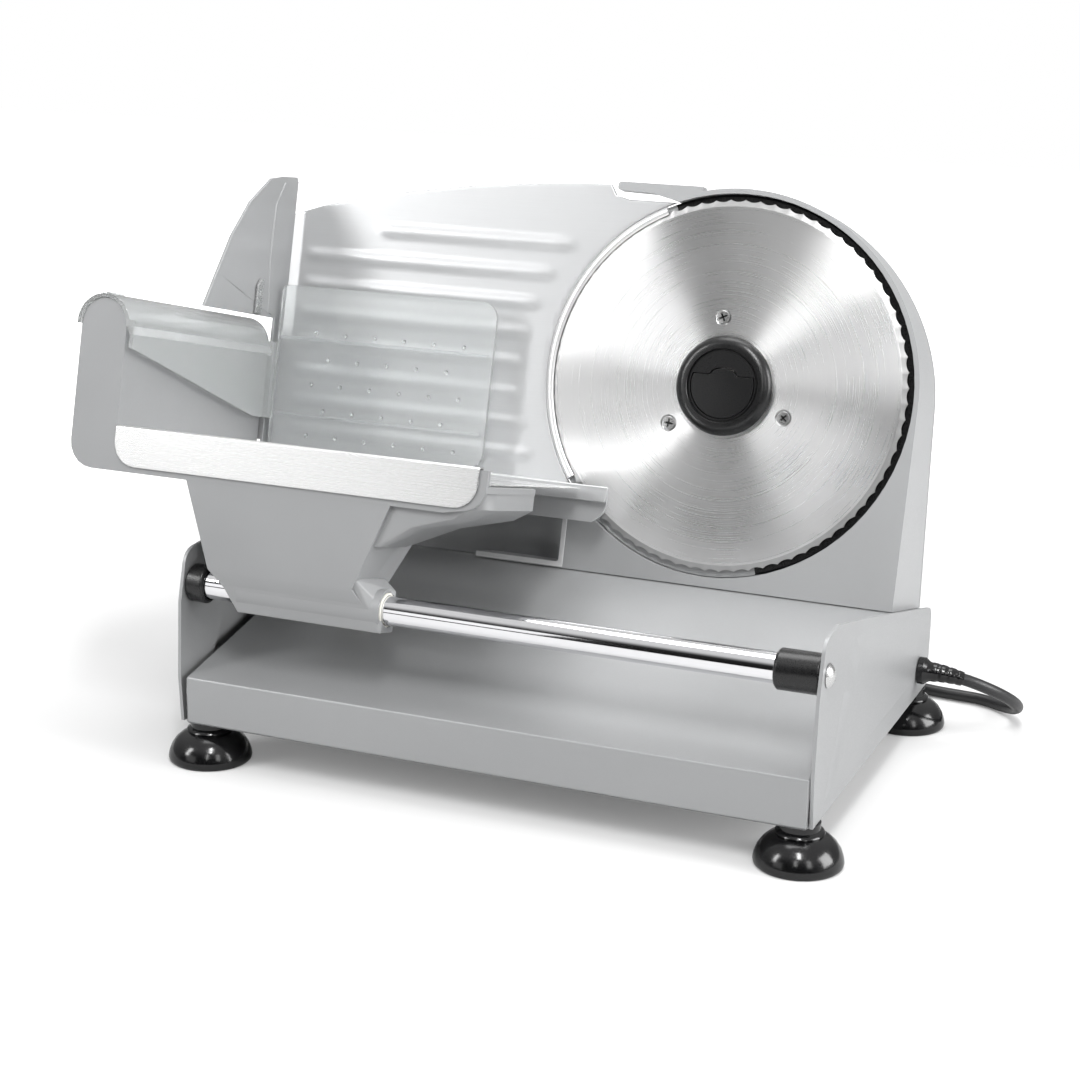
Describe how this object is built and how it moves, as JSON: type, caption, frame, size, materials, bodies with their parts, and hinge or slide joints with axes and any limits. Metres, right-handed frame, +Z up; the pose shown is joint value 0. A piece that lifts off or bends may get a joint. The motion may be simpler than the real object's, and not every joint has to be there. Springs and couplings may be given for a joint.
{
  "type": "electric deli meat slicer",
  "caption": "Food slicer on suction feet: leaning housing with a round scalloped blade, ribbed guide plate, sliding tray carriage on one rod, and a clear pusher.",
  "frame": {"origin": "on the table, under the middle of the box of everything but the free cord", "axes": "+X to the user's right, the way the carriage travels past the blade; +Y away from the user; +Z up"},
  "size_m": [0.4397, 0.3643, 0.2751],
  "materials": {
    "painted_steel": "satin silver-grey paint on pressed steel",
    "painted_housing": "satin silver-grey paint on die-cast aluminium",
    "silver_plastic": "fine-grained silver-grey moulding",
    "satin_plate": "satin pressed plate",
    "brushed_steel": "brushed along its length",
    "blade_steel": "ground in rings, with radial highlights",
    "chrome": "polished",
    "zinc": "bright zinc",
    "plug_brass": "bright",
    "black_plastic": "fine grain",
    "black_rubber": "glossy moulded rubber",
    "clear_plastic": "clear moulded polycarbonate",
    "white_nylon": "moulded nylon",
    "brass": "machined",
    "cord_jacket": "smooth PVC jacket"
  },
  "bodies": {
    "base": {"base_shell": "painted_steel", "base_bottom": "painted_steel", "side_plate_left": "painted_steel", "side_plate_right": "painted_steel", "slide_rod": "chrome", "rod_socket_left": "black_plastic", "rod_socket_right": "black_plastic", "rod_screw_left": "zinc", "rod_screw_right": "zinc", "foot_front_left": "black_rubber", "foot_front_right": "black_rubber", "foot_rear_left": "black_rubber", "foot_rear_right": "black_rubber", "foot_screw_front_left": "zinc", "foot_screw_front_right": "zinc", "foot_screw_rear_left": "zinc", "foot_screw_rear_right": "zinc", "motor_housing": "painted_housing", "housing_cover": "silver_plastic", "spindle_bearing": "brass", "motor": "zinc", "switch_frame": "black_plastic", "cord_gland": "black_rubber", "cord_lead": "cord_jacket", "cord_coil": "cord_jacket", "cord_tail": "cord_jacket", "plug_body": "black_plastic", "plug_pin_left": "plug_brass", "plug_pin_right": "plug_brass"},
    "carriage": {"carriage_body": "silver_plastic", "steel_tray": "brushed_steel", "finger_guard": "painted_steel", "guard_clip": "zinc", "carriage_bush_left": "white_nylon", "carriage_bush_right": "white_nylon", "carriage_glide": "white_nylon"},
    "pusher": {"pusher": "clear_plastic"},
    "guide": {"guide_plate": "satin_plate", "guide_bracket": "silver_plastic"},
    "thickness_dial": {"thickness_knob": "black_plastic", "thickness_spindle": "zinc"},
    "blade": {"blade": "blade_steel", "blade_carrier": "white_nylon", "blade_screw_1": "zinc", "blade_screw_2": "zinc", "blade_screw_3": "zinc", "worm_wheel": "white_nylon"},
    "lock_knob": {"lock_knob": "black_plastic"},
    "lock_grip": {"lock_grip": "black_plastic"},
    "worm": {"worm_shaft": "brass"},
    "switch": {"switch_rocker": "black_plastic"}
  },
  "joints": [
    {"name": "carriage_slide", "type": "slide", "parent": "base", "child": "carriage", "axis": [1, 0, 0], "range_m": [-0.002, 0.188]},
    {"name": "pusher_slide", "type": "slide", "parent": "carriage", "child": "pusher", "axis": [0, -0.9736, 0.2284], "range_m": [0, 0.095]},
    {"name": "guide_slide", "type": "slide", "parent": "base", "child": "guide", "axis": [0, 0.9736, -0.2284], "range_m": [-0.002, 0.013]},
    {"name": "thickness_turn", "type": "hinge", "parent": "base", "child": "thickness_dial", "pos_m": [-0.07525, 0.10837, 0.0878], "axis": [0, 0.9736, -0.2284], "range_deg": [-40, 260]},
    {"name": "blade_spin", "type": "hinge", "parent": "base", "child": "blade", "pos_m": [0.08275, 0.06174, 0.17711], "axis": [0, 0.9736, -0.2284], "continuous": true},
    {"name": "worm_spin", "type": "hinge", "parent": "base", "child": "worm", "pos_m": [0.08275, 0.08442, 0.13893], "axis": [1, 0, 0], "continuous": true},
    {"name": "lock_turn", "type": "hinge", "parent": "blade", "child": "lock_knob", "pos_m": [0.08275, 0.06144, 0.17718], "axis": [0, 0.9736, -0.2284], "range_deg": [0, 90]},
    {"name": "grip_flip", "type": "hinge", "parent": "lock_knob", "child": "lock_grip", "pos_m": [0.08275, 0.05879, 0.18294], "axis": [-1, 0, 0], "range_deg": [0, 80]},
    {"name": "switch_tip", "type": "hinge", "parent": "base", "child": "switch", "pos_m": [-0.02025, 0.09856, 0.092], "axis": [0, 0, 1], "range_deg": [0, 12]}
  ],
  "couplings": [
    {"joint": "thickness_turn", "follows": "guide_slide", "rad_per_m": 349.07},
    {"joint": "worm_spin", "follows": "blade_spin", "ratio": 32}
  ]
}
